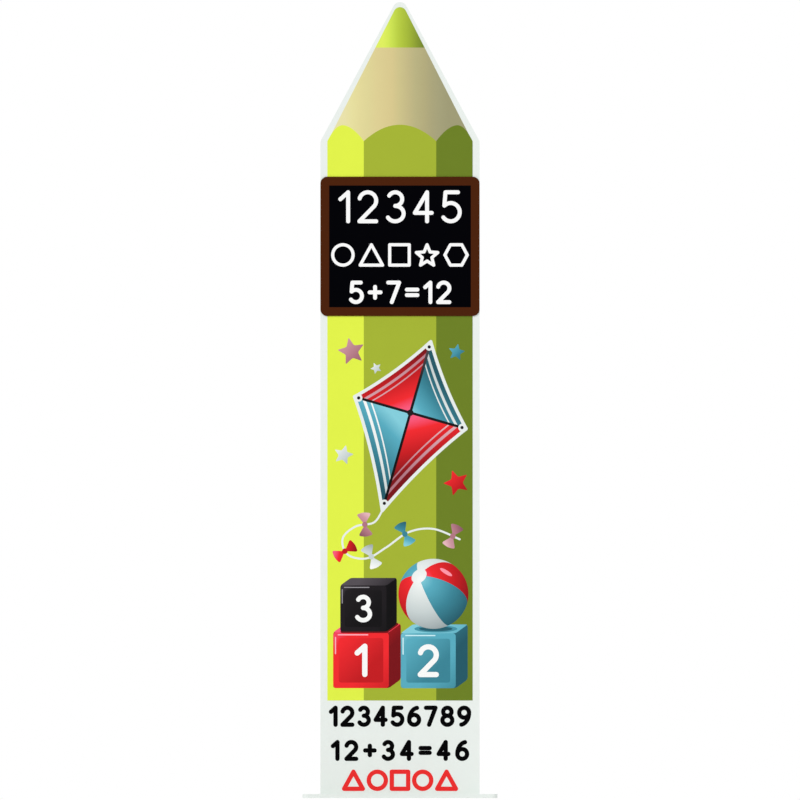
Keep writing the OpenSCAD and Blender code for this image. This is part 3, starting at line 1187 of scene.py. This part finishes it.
@dataclass(frozen=True)
class PencilPrint:
    """The print on the panel: three flanks, sharpened wood, the lead, and toys on the flanks."""

    face_y: float = -58.3
    side: float = 182.5
    facet: float = 91.0
    bottom: float = 245.0
    arch_low: float = 1650.0
    arch_peak: float = 1690.5
    arch_rise: float = 40.0
    arch_x: float = 144.0
    middle_lift: float = 1.2
    middle_drop: float = 41.2
    outer_drop: float = 40.5
    inner_drop: float = 40.0
    inner_power: float = 1.8
    cone_half: float = 27.0
    tip_radius: float = 16.4
    top: float = 1987.0
    lead_z: float = 1885.5
    stud_hole: float = 8.0
    stud_x: float = 150.0
    stud_z: tuple[float, float] = (1261.0, 1511.0)
    least: float = 0.01

    def outline(self, ink: Finish) -> list[Field]:
        """Draws the film's edge: the straight part with its shoulders, the cone and its tip.

        Args:
            ink: The ink that shows where no other covers it.

        Returns:
            Two fields that overlap.
        """
        steps = 12
        rise = [(i / steps, 1 - (i / steps) ** 2) for i in range(steps, -1, -1)]
        arm = self.side - self.arch_x
        right = [(self.side, self.bottom)]
        right += [(self.arch_x + arm * u, self.arch_low + self.arch_rise * v) for u, v in rise]
        centre = (0.0, self.top - self.tip_radius)
        touch = arc(centre, (self.tip_radius,) * 2, self.cone_half, 90, 12)
        foot = touch[0][0] + (touch[0][1] - self.arch_low) * tan(radians(self.cone_half))
        out = []
        for half in (right, [(foot, self.arch_low), *touch]):
            mirrored = [(-x, z) for x, z in half[::-1] if x > self.least]
            out.append(Field(half + mirrored, ink))
        return out

    def flank(self, low_x: float, high_x: float, ink: Finish) -> Field:
        """Fills a flank up to the scalloped edge of the wood.

        Args:
            low_x: Its left edge.
            high_x: Its right edge.
            ink: Its ink.

        Returns:
            The flank's field.
        """
        steps = 36
        places = [low_x + (high_x - low_x) * i / steps for i in range(steps, -1, -1)]
        edge = [(x, self.scallop(x)) for x in places]
        return Field([(low_x, self.bottom), (high_x, self.bottom), *edge], ink)

    def scallop(self, x: float) -> float:
        """Follows the wood's lower edge, an arch over each flank.

        Args:
            x: Distance from the middle of the sign, on either side.

        Returns:
            The edge's height.
        """
        x = abs(x)
        if x <= self.facet:
            return self.arch_peak + self.middle_lift - self.middle_drop * (x / self.facet) ** 2
        if x >= self.arch_x:
            share = (x - self.arch_x) / (self.side - self.arch_x)
            return self.arch_peak - self.outer_drop * share**2
        share = (self.arch_x - x) / (self.arch_x - self.facet)
        return self.arch_peak - self.inner_drop * share**self.inner_power

    def build(self) -> Piece:
        """Prints and cuts the film, which stands for the CAD film.

        Returns:
            The film's object.
        """
        wood = Ink(name="wood_ink", start=(-140.6, 0), end=(120.7, 0), stops=graded(
            (0.0, 233, 225, 170), (0.077, 231, 223, 159), (0.154, 227, 217, 154),
            (0.231, 223, 213, 151), (0.308, 222, 208, 148), (0.462, 216, 200, 142),
            (0.538, 205, 194, 138), (0.615, 196, 185, 134), (0.692, 185, 178, 130),
            (0.769, 179, 171, 125), (0.846, 170, 164, 123), (0.923, 164, 160, 122),
            (1.0, 159, 155, 118),
        ))
        lead = Ink(name="lead_ink", start=(-42.6, 0), end=(58.0, 0), stops=graded(
            (0.0, 223, 240, 94), (0.125, 213, 234, 86), (0.25, 199, 222, 78), (0.375, 185, 207, 67),
            (0.5, 174, 195, 60), (0.625, 163, 184, 56), (0.75, 149, 168, 51), (0.875, 131, 150, 47),
            (1.0, 115, 133, 42),
        ))
        side, facet = self.side, self.facet
        flanks = [
            self.flank(-side, -facet, flat_ink("left_flank", Tint(226, 243, 73))),
            self.flank(-facet, facet, flat_ink("middle_flank", Tint(164, 180, 51))),
            self.flank(facet, side, flat_ink("right_flank", Tint(107, 127, 34))),
        ]
        tip = Field(block((-side, self.lead_z), (side, self.top + 1)), lead)
        toys = [drawn for motif in self.motifs() for drawn in motif.fields()]
        holes = [
            Field(disc((x, z), self.stud_hole / 2, 24), None)
            for x in (-self.stud_x, self.stud_x) for z in self.stud_z
        ]
        areas = [*flanks, tip, *toys, *holes]
        sheet = PrintedSheet("pencil_print", self.face_y, outline=self.outline(wood), fields=areas)
        piece = sheet.build()
        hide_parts("printed_film")
        return piece

    @staticmethod
    def motifs() -> list["Kite | BeachBall | ToyBlock | StarSpray"]:
        """Lists the toys.

        Returns:
            The motifs in the order in which they are printed.
        """
        pink, ice, grey = Tint(255, 176, 190), Tint(206, 240, 246), Tint(150, 146, 152)
        under = Tint(112, 12, 18)
        return [
            StarSpray(),
            Kite(),
            ToyBlock("red_block", (-168, 276), 140, (30, 22), RED, "1", pink),
            ToyBlock("teal_block", (2, 276), 138, (30, 22), TEAL, "2", ice),
            ToyBlock("black_block", (-150, 418), 116, (26, 19), BLACK, "3", grey, under),
            BeachBall(),
        ]


@dataclass(frozen=True)
class StarSpray:
    """A few loose stars between the toys, each given by its middle, size, lean and tints."""

    stars: tuple[tuple[float, float, float, float, Tints], ...] = (
        (-122, 1122, 36, 12, PINK), (-142, 862, 26, -14, WHITE), (142, 792, 34, 20, RED),
        (142, 1120, 22, -10, TEAL), (-60, 1080, 15, 24, WHITE),
    )
    notch: float = 0.46
    softness: float = 0.12

    def fields(self) -> list[Field]:
        """Draws the stars.

        Returns:
            One field for each star.
        """
        out = []
        for i, (x, z, size, lean, tints) in enumerate(self.stars):
            light, dark = laid([(-size, size), (size, -size)], (x, z))
            shape = rounded(star(5, size, self.notch * size), self.softness * size)
            ink = moulded(f"star_{i + 1}", tints, light, dark)
            out.append(Field(laid(shape, (x, z), lean), ink))
        return out


@dataclass(frozen=True)
class BoardPrint:
    """The print on the name board: a brown frame, a black field, and white numbers and shapes.

    Each row has its marks, bottom, height, width and pen.
    """

    face_y: float = -60.6
    half_width: float = 200.0
    bottom: float = 1211.0
    top: float = 1561.0
    corner: float = 17.5
    rim: float = 22.0
    rows: tuple[tuple[str, float, float, float, float], ...] = (
        ("12345", 1444, 83, 310, 10.0), ("ots*h", 1335, 59, 346, 7.8),
        ("5+7=12", 1241, 59, 258, 9.8),
    )

    def build(self) -> Piece:
        """Prints and cuts the board's film, which stands for the CAD film.

        Returns:
            The film's object.
        """
        brown = flat_ink("board_brown", Tint(73, 31, 6), gloss=0.05)
        black = flat_ink("board_black", Tint(0, 0, 3), gloss=0.02)
        white = flat_ink("board_white", Tint(250, 250, 250))
        low, high = self.bottom + self.corner, self.top - self.corner
        edge = self.half_width - self.corner
        radii = (self.corner, self.corner)
        corners = (((edge, high), 0), ((-edge, high), 90), ((-edge, low), 180), ((edge, low), 270))
        turns = [arc(centre, radii, start, start + 90, 12) for centre, start in corners]
        outline = [spot for turn in turns for spot in turn]
        reach = self.half_width - self.rim
        slate = Field(block((-reach, self.bottom + self.rim), (reach, self.top - self.rim)), black)
        areas = [slate, *[drawn for row in self.rows for drawn in MarkRow(*row, white).fields()]]
        frame_area = [Field(outline, brown)]
        piece = PrintedSheet("board_print", self.face_y, outline=frame_area, fields=areas).build()
        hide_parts("board_film")
        return piece


@dataclass(frozen=True)
class FootNumbers:
    """Cut film numbers and shapes on the bare coat under the print: two black rows, one red.

    Each row has its marks, bottom, height and width.
    """

    face_y: float = -58.3
    pen: float = 11.0
    black_rows: tuple[tuple[str, float, float, float], ...] = (
        ("123456789", 178.6, 53.6, 358), ("12+34=46", 93.0, 53.0, 348),
    )
    red_rows: tuple[tuple[str, float, float, float], ...] = (("tosot", 17.6, 53.8, 292),)

    def build(self) -> list[Piece]:
        """Cuts the rows.

        Returns:
            One piece for each colour.
        """
        black = flat_ink("foot_black", Tint(0, 0, 1), gloss=0.03)
        red = flat_ink("foot_red", Tint(238, 44, 44))
        cuts = (("foot_numbers", self.black_rows, black), ("foot_shapes", self.red_rows, red))
        pieces = []
        for name, rows, ink in cuts:
            areas = [drawn for row in rows for drawn in MarkRow(*row, self.pen, ink).fields()]
            pieces.append(PrintedSheet(name, self.face_y, fields=areas).build())
        return pieces


@dataclass(frozen=True)
class SoftenedPiece:
    """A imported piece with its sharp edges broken, as tools, tumbling and paint leave them."""

    node: str
    finish: Finish
    edge: float
    segments: int = 2
    merge: float = 0.002
    flat_angle: float = 0.5
    sharp_angle: float = 32.0

    def build(self) -> Piece:
        """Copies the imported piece, joins its loose triangles and rounds its edges.

        Returns:
            The piece that is shown instead.
        """
        mesh = frame["nodes"][self.node].data.copy()
        mesh.name = self.node + "_finished"
        work = bmesh.new()
        work.from_mesh(mesh)
        bmesh.ops.remove_doubles(work, verts=work.verts, dist=self.merge * MM)
        bmesh.ops.dissolve_limit(
            work, angle_limit=radians(self.flat_angle), verts=work.verts, edges=work.edges,
            delimit={"NORMAL"},
        )
        work.to_mesh(mesh)
        work.free()
        mesh.materials.clear()
        mesh.materials.append(self.finish.material())
        mesh.shade_smooth()
        mesh.set_sharp_from_angle(angle=radians(self.sharp_angle))
        piece = added(self.node + "_finished", mesh)
        bevel = piece.modifiers.new("edges", "BEVEL")
        bevel.width = self.edge * MM
        bevel.segments = self.segments
        bevel.limit_method = "ANGLE"
        bevel.angle_limit = radians(self.sharp_angle)
        bevel.harden_normals = True
        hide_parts(self.node)
        return piece


class GrownPiece:
    """A Geometry Nodes tree with named inputs, and what it grows on a mesh of seed points."""

    def __init__(self, name: str, sizes: dict[str, float | int | bpy.types.Material]) -> None:
        """Starts a tree.

        Args:
            name: The name of the tree and its piece.
            sizes: The tree's inputs by name.
        """
        self.name = name
        self.sizes = sizes
        self.tree = bpy.data.node_groups.new(name, "GeometryNodeTree")
        sockets = self.tree.interface
        sockets.new_socket("Geometry", in_out="INPUT", socket_type="NodeSocketGeometry")
        kinds = {int: "Int", float: "Float", bpy.types.Material: "Material"}
        for label, value in sizes.items():
            kind = "NodeSocket" + kinds[type(value)]
            sockets.new_socket(label, in_out="INPUT", socket_type=kind)
        sockets.new_socket("Geometry", in_out="OUTPUT", socket_type="NodeSocketGeometry")
        self.given = self.tree.nodes.new("NodeGroupInput")

    def add(
        self, kind: str, links: dict[str | int, object] | None = None, **settings: object
    ) -> bpy.types.Node:
        """Adds a node.

        Args:
            kind: The node's type.
            links: Its inputs by name or number: a socket, the name of a tree input, or a value.
            settings: Properties of the node.

        Returns:
            The new node.
        """
        node = self.tree.nodes.new(kind)
        for key, value in settings.items():
            setattr(node, key, value)
        for key, value in (links or {}).items():
            if isinstance(value, Socket):
                self.tree.links.new(value, node.inputs[key])
            elif isinstance(value, str):
                self.tree.links.new(self.given.outputs[value], node.inputs[key])
            else:
                node.inputs[key].default_value = value
        return node

    def math(self, operation: str, *values: Socket | str | float) -> Socket:
        """Adds a sum of sockets, tree inputs by name, or numbers, and gives its result."""
        return self.add("ShaderNodeMath", dict(enumerate(values)), operation=operation).outputs[0]

    def grow(self, result: Socket, seeds: bpy.types.Mesh) -> Piece:
        """Ends the tree and turns what it makes into a plain mesh.

        Args:
            result: The tree's geometry before its last two nodes.
            seeds: The mesh that the tree starts from.

        Returns:
            The finished piece.
        """
        whole = self.add("GeometryNodeRealizeInstances", {"Geometry": result}).outputs[0]
        dressed = self.add("GeometryNodeSetMaterial", {"Geometry": whole, "Material": "Finish"})
        self.add("NodeGroupOutput", {"Geometry": dressed.outputs[0]})
        holder = added(self.name + "_seeds", seeds)
        modifier = holder.modifiers.new("grow", "NODES")
        modifier.node_group = self.tree
        for item in self.tree.interface.items_tree:
            if item.in_out == "INPUT" and item.name in self.sizes:
                modifier[item.identifier] = self.sizes[item.name]
        shown = holder.evaluated_get(bpy.context.evaluated_depsgraph_get())
        mesh = bpy.data.meshes.new_from_object(shown)
        mesh.name = self.name
        holder.modifiers.remove(modifier)
        bpy.data.objects.remove(holder)
        return added(self.name, mesh)


@dataclass(frozen=True)
class Beads:
    """Beads of round section along paths, with ripples and tapered ends."""

    name: str
    radius: float
    step: float
    ripple: float
    jitter: float
    taper: float
    sides: int
    finish: Finish
    beat: float = 3.0
    thinnest: float = 0.3
    seed: int = 7

    def grow(self, paths: list[list[Spot]]) -> Piece:
        """Grows the beads.

        Args:
            paths: The open paths that their middles follow.

        Returns:
            One piece with all the beads.
        """
        places, edges = [], []
        for path in paths:
            start = len(places)
            places += [tuple(value * MM for value in spot) for spot in path]
            edges += [(i, i + 1) for i in range(start, len(places) - 1)]
        seeds = bpy.data.meshes.new(self.name + "_seeds")
        seeds.from_pydata(places, edges, [])
        grown = GrownPiece(self.name, {
            "Radius": self.radius * MM, "Step": self.step * MM, "Ripple": self.ripple,
            "Jitter": self.jitter, "Taper": self.taper * MM, "Sides": self.sides,
            "Seed": self.seed, "Finish": self.finish.material(),
        })
        curve = grown.add("GeometryNodeMeshToCurve", {"Mesh": "Geometry"})
        line = {"Curve": curve.outputs[0], "Length": "Step"}
        fine = grown.add("GeometryNodeResampleCurve", line, mode="LENGTH")
        beat = grown.math("MODULO", grown.add("GeometryNodeInputIndex").outputs[0], self.beat)
        span = {2: grown.math("SUBTRACT", 1.0, "Jitter"), 3: 1.0, "Seed": "Seed"}
        chance = grown.add("FunctionNodeRandomValue", span, data_type="FLOAT")
        rippled = grown.math("SUBTRACT", chance.outputs[1], grown.math("MULTIPLY", beat, "Ripple"))
        passed = grown.add("GeometryNodeSplineParameter").outputs["Length"]
        whole = grown.add("GeometryNodeSplineLength").outputs["Length"]
        ahead = grown.math("SUBTRACT", whole, passed)
        nearer = grown.math("MINIMUM", passed, ahead)
        share = grown.math("MINIMUM", grown.math("DIVIDE", nearer, "Taper"), 1.0)
        swell = grown.math("SQRT", grown.math("MAXIMUM", share, 0.0))
        swell = grown.math("MAXIMUM", swell, self.thinnest)
        section = {"Resolution": "Sides", "Radius": "Radius"}
        ring = grown.add("GeometryNodeCurvePrimitiveCircle", section)
        bead = grown.add("GeometryNodeCurveToMesh", {
            "Curve": fine.outputs[0], "Profile Curve": ring.outputs[0],
            "Scale": grown.math("MULTIPLY", rippled, swell), "Fill Caps": True,
        })
        smooth = grown.add("GeometryNodeSetShadeSmooth", {"Geometry": bead.outputs[0]})
        return grown.grow(smooth.outputs[0], seeds)


@dataclass(frozen=True)
class WeldSeams:
    """Fillet welds of the post and its gussets, as rippled beads under the coat."""

    beads: Beads = Beads(
        "weld_seams", radius=3.4, step=0.6, ripple=0.035, jitter=0.04, taper=3.5, sides=10,
        finish=COAT,
    )
    stop: float = 2.5
    half_width: float = 20.0
    half_depth: float = 40.0
    corner: float = 5.0
    plate_z: float = 10.0
    gusset_half: float = 4.0
    gusset_top: float = 110.0
    side_reach: float = 90.0
    rear_reach: float = 70.0
    snipe: float = 10.0
    snipe_fill: float = 0.6

    def build(self) -> Piece:
        """Lays a bead round the post's foot and along both sides of each gusset.

        Returns:
            One piece with all the beads.
        """
        w, d, r, z, stop = self.half_width, self.half_depth, self.corner, self.plate_z, self.stop
        clear = self.gusset_half + self.snipe * self.snipe_fill
        front = [(w, -clear, z), (w, r - d, z)]
        front += [(x, y, z) for x, y in arc((w - r, r - d), (r, r), 0, -90, 6)]
        front += [(-x, y, z) for x, y, z in reversed(front)]
        rear = [(w, clear, z), (w, d - r, z)]
        rear += [(x, y, z) for x, y in arc((w - r, d - r), (r, r), 0, 90, 6)]
        rear.append((clear, d, z))
        paths = [front, rear, [(-x, y, z) for x, y, z in rear]]
        low, high = z + self.snipe, self.gusset_top - stop
        for side in (-1, 1):
            for face in (-self.gusset_half, self.gusset_half):
                start, end = w + self.snipe, w + self.side_reach - stop
                paths.append([(side * start, face, z), (side * end, face, z)])
                paths.append([(side * w, face, low), (side * w, face, high)])
            face = side * self.gusset_half
            paths.append([(face, d + self.snipe, z), (face, d + self.rear_reach - stop, z)])
            paths.append([(face, d, low), (face, d, high)])
        return self.beads.grow(paths)


@dataclass(frozen=True)
class BondLines:
    """Adhesive that has squeezed out beside the rails and the edge angles."""

    beads: Beads = Beads(
        "bond_lines", radius=1.2, step=7.0, ripple=0.0, jitter=0.4, taper=8.0, sides=6,
        finish=ADHESIVE,
    )
    sheet_y: float = -56.0
    angle_x: float = 182.9
    foot_z: float = 26.1
    shoulder: Point = (181.5, 1649.4)
    tip: Point = (6.0, 1974.0)
    clear: float = 3.0

    def build(self) -> Piece:
        """Lays a thin bead along each bonded edge.

        Returns:
            One piece with all the beads.
        """
        end = self.angle_x - self.clear
        lines = [((-end, self.foot_z), (end, self.foot_z))]
        for side in (-1, 1):
            x = side * self.angle_x
            lines.append(((x, self.foot_z + self.clear), (x, self.shoulder[1] - 2 * self.clear)))
            lines.append(tuple((side * across, up) for across, up in (self.shoulder, self.tip)))
        for node in (name for name in frame["nodes"] if name.startswith("rail_")):
            low, high = ([value / MM for value in corner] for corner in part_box(node))
            left, right = low[0] + self.clear, high[0] - self.clear
            lines += [((left, z), (right, z)) for z in (low[2], high[2])]
        return self.beads.grow([[(x, self.sheet_y, z) for x, z in line] for line in lines])


@dataclass(frozen=True)
class ThreadTips:
    """The threads that show past the nuts, as helical ridges on the plain shanks."""

    name: str
    radius: float
    pitch: float
    turns: float
    first_y: float
    at: tuple[Point, ...]
    ridge: float = 0.34
    chords: int = 24

    def build(self) -> Piece:
        """Grows a ridge at each shank.

        Returns:
            One piece with all the ridges.
        """
        seeds = bpy.data.meshes.new(self.name + "_seeds")
        seeds.from_pydata([(x * MM, self.first_y * MM, z * MM) for x, z in self.at], [], [])
        grown = GrownPiece(self.name, {
            "Radius": self.radius * MM, "Turns": self.turns, "Height": self.turns * self.pitch * MM,
            "Ridge": self.ridge * self.pitch * MM, "Finish": FASTENER_ZINC.material(),
        })
        helix = grown.add("GeometryNodeCurveSpiral", {
            "Resolution": self.chords, "Rotations": "Turns", "Height": "Height",
            "Start Radius": "Radius", "End Radius": "Radius",
        })
        crest = grown.add("GeometryNodeCurvePrimitiveCircle", {"Resolution": 4, "Radius": "Ridge"})
        ridge = grown.add("GeometryNodeCurveToMesh", {
            "Curve": helix.outputs[0], "Profile Curve": crest.outputs[0], "Fill Caps": True,
        })
        placed = grown.add("GeometryNodeInstanceOnPoints", {
            "Points": "Geometry", "Instance": ridge.outputs[0], "Rotation": (radians(-90), 0, 0),
        })
        return grown.grow(placed.outputs[0], seeds)


@dataclass
class Frame:
    """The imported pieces: which finish each has, and how far its edges are broken."""

    coated: dict[str, float] = field(default_factory=lambda: {
        "base_plate": 0.8, "post": 0.3, "gusset_left": 0.6, "gusset_right": 0.6, "gusset_rear": 0.6,
        "panel_sheet": 0.3, "foot_angle": 0.25, "side_angle_left": 0.25, "side_angle_right": 0.25,
        "slope_angle_left": 0.25, "slope_angle_right": 0.25,
    })
    fasteners: tuple[str, ...] = (
        "clamp_bolts", "clamp_washers", "clamp_nuts", "foot_bolts", "foot_washers",
        "board_studs", "board_washers", "board_nuts",
    )
    rails: int = 5

    def softened(self) -> list[SoftenedPiece]:
        """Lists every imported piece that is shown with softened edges.

        Returns:
            The pieces, not yet built.
        """
        pieces = [SoftenedPiece(node, COAT, edge) for node, edge in self.coated.items()]
        pieces.append(SoftenedPiece("name_board", BROWN_COAT, 0.3))
        pieces.append(SoftenedPiece("post_cap", CAP_PLASTIC, 0.3))
        for i in range(1, self.rails + 1):
            pieces.append(SoftenedPiece(f"rail_{i}", RAIL_METAL, 0.25))
            pieces.append(SoftenedPiece(f"clamp_{i}", CLAMP_ZINC, 0.35))
        pieces += [SoftenedPiece(node, FASTENER_ZINC, 0.18, 1) for node in self.fasteners]
        return pieces


@dataclass(frozen=True)
class Studio:
    """A pale floor, white surroundings, two soft lamps and a camera square to the front."""

    floor_half: float = 30.0
    view_height: float = 1.0
    view_width: float = 2.0101
    distance: float = 6.0
    world: float = 0.61
    lamps: tuple[tuple[str, float, float, float], ...] = (
        ("key", 1.2, -32.0, 40.0), ("rear", 0.8, 150.0, 42.0),
    )
    lamp_spread: float = 18.0
    floor_grey: float = 0.9
    floor_roughness: float = 0.9
    sight: float = 50.0

    def build(self) -> None:
        """Sets the floor, the world, the lamps, the camera and the view transform."""
        self.floor()
        self.surroundings()
        for name, energy, azimuth, elevation in self.lamps:
            self.hang(name, energy, azimuth, elevation)
        self.camera()
        bpy.context.scene.view_settings.view_transform = "Standard"

    def floor(self) -> None:
        """Lays a wide plain floor."""
        half, grey = self.floor_half, self.floor_grey
        mesh = bpy.data.meshes.new("floor")
        corners = [(x, y, 0) for x, y in block((-half, -half), (half, half))]
        mesh.from_pydata(corners, [], [(0, 1, 2, 3)])
        shader = Shader("floor_paint")
        shader.surface.inputs["Base Color"].default_value = (grey, grey, grey, 1)
        shader.surface.inputs["Specular IOR Level"].default_value = 0.0
        shader.surface.inputs["Roughness"].default_value = self.floor_roughness
        mesh.materials.append(shader.material)
        added("floor", mesh)

    def surroundings(self) -> None:
        """Makes the world white to look at and softer as a light."""
        world = bpy.data.worlds.new("studio")
        bpy.context.scene.world = world
        world.use_nodes = True
        nodes, links = world.node_tree.nodes, world.node_tree.links
        path = nodes.new("ShaderNodeLightPath")
        seen = path.outputs["Is Camera Ray"]
        for name in ("Is Glossy Ray", "Is Transmission Ray"):
            either = nodes.new("ShaderNodeMath")
            either.operation = "MAXIMUM"
            links.new(seen, either.inputs[0])
            links.new(path.outputs[name], either.inputs[1])
            seen = either.outputs[0]
        strength = nodes.new("ShaderNodeMapRange")
        strength.inputs["To Min"].default_value = self.world
        strength.inputs["To Max"].default_value = 1.0
        links.new(seen, strength.inputs["Value"])
        background = nodes["Background"]
        background.inputs["Color"].default_value = (1, 1, 1, 1)
        links.new(strength.outputs["Result"], background.inputs["Strength"])

    def hang(self, name: str, energy: float, azimuth: float, elevation: float) -> None:
        """Hangs a large soft lamp far away.

        Args:
            name: The lamp's name.
            energy: Its strength.
            azimuth: Where it hangs, in degrees to the right of the front.
            elevation: How high it hangs, in degrees.
        """
        data = bpy.data.lights.new(name, "SUN")
        data.energy = energy
        data.angle = radians(self.lamp_spread)
        lamp = bpy.data.objects.new(name, data)
        side, up = radians(azimuth), radians(elevation)
        toward = Vector((sin(side) * cos(up), -cos(side) * cos(up), sin(up)))
        lamp.rotation_euler = toward.to_track_quat("Z", "Y").to_euler()
        bpy.context.scene.collection.objects.link(lamp)

    def camera(self) -> None:
        """Sets a level camera without perspective, square to the printed side."""
        data = bpy.data.cameras.new("front")
        data.type = "ORTHO"
        data.ortho_scale = self.view_width
        data.clip_end = self.sight
        camera = bpy.data.objects.new("front", data)
        camera.location = (0, -self.distance, self.view_height)
        camera.rotation_euler = (radians(90), 0, 0)
        bpy.context.scene.collection.objects.link(camera)
        bpy.context.scene.camera = camera


@dataclass
class Sign:
    """The whole sign: its softened pieces, prints, welds, adhesive and threads."""

    rail_heights: tuple[float, ...] = (150, 560, 970, 1386, 1760)
    bolt_x: float = 42.0
    stud_spots: tuple[Point, ...] = ((-150, 1261), (150, 1261), (-150, 1511), (150, 1511))

    def build(self) -> None:
        """Builds every piece in turn and puts it on its body."""
        slots = {row["node"]: row["material_slot"] for row in frame["record"]["subparts"]}
        for soft in Frame().softened():
            self.hold(soft.build(), slots[soft.node])
        self.hold(PencilPrint().build(), "film")
        self.hold(BoardPrint().build(), "board_film")
        for piece in FootNumbers().build():
            self.hold(piece, "film")
        for beads in (WeldSeams(), BondLines()):
            self.hold(beads.build(), "coat")
        bolts = tuple((side * self.bolt_x, z) for z in self.rail_heights for side in (-1, 1))
        studs = self.stud_spots
        for threads in (
            ThreadTips("bolt_threads", radius=3.75, pitch=1.25, turns=1.6, first_y=-26.6, at=bolts),
            ThreadTips("stud_threads", radius=2.8, pitch=1.0, turns=1.4, first_y=-49.3, at=studs),
        ):
            self.hold(threads.build(), "fasteners")

    @staticmethod
    def hold(piece: Piece, slot: str) -> None:
        """Lets a piece ride on the sign and reports it.

        Args:
            piece: The piece.
            slot: The record's material slot. It is not used.
        """
        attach(piece, BODY)
        mesh = piece.data
        log.info("%s: %d faces, %d finishes", piece.name, len(mesh.polygons), len(mesh.materials))


def main() -> None:
    """Builds the sign and the studio."""
    logging.basicConfig(level=logging.INFO, format="%(message)s")
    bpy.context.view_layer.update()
    Sign().build()
    Studio().build()


if __name__ == "__main__":
    main()
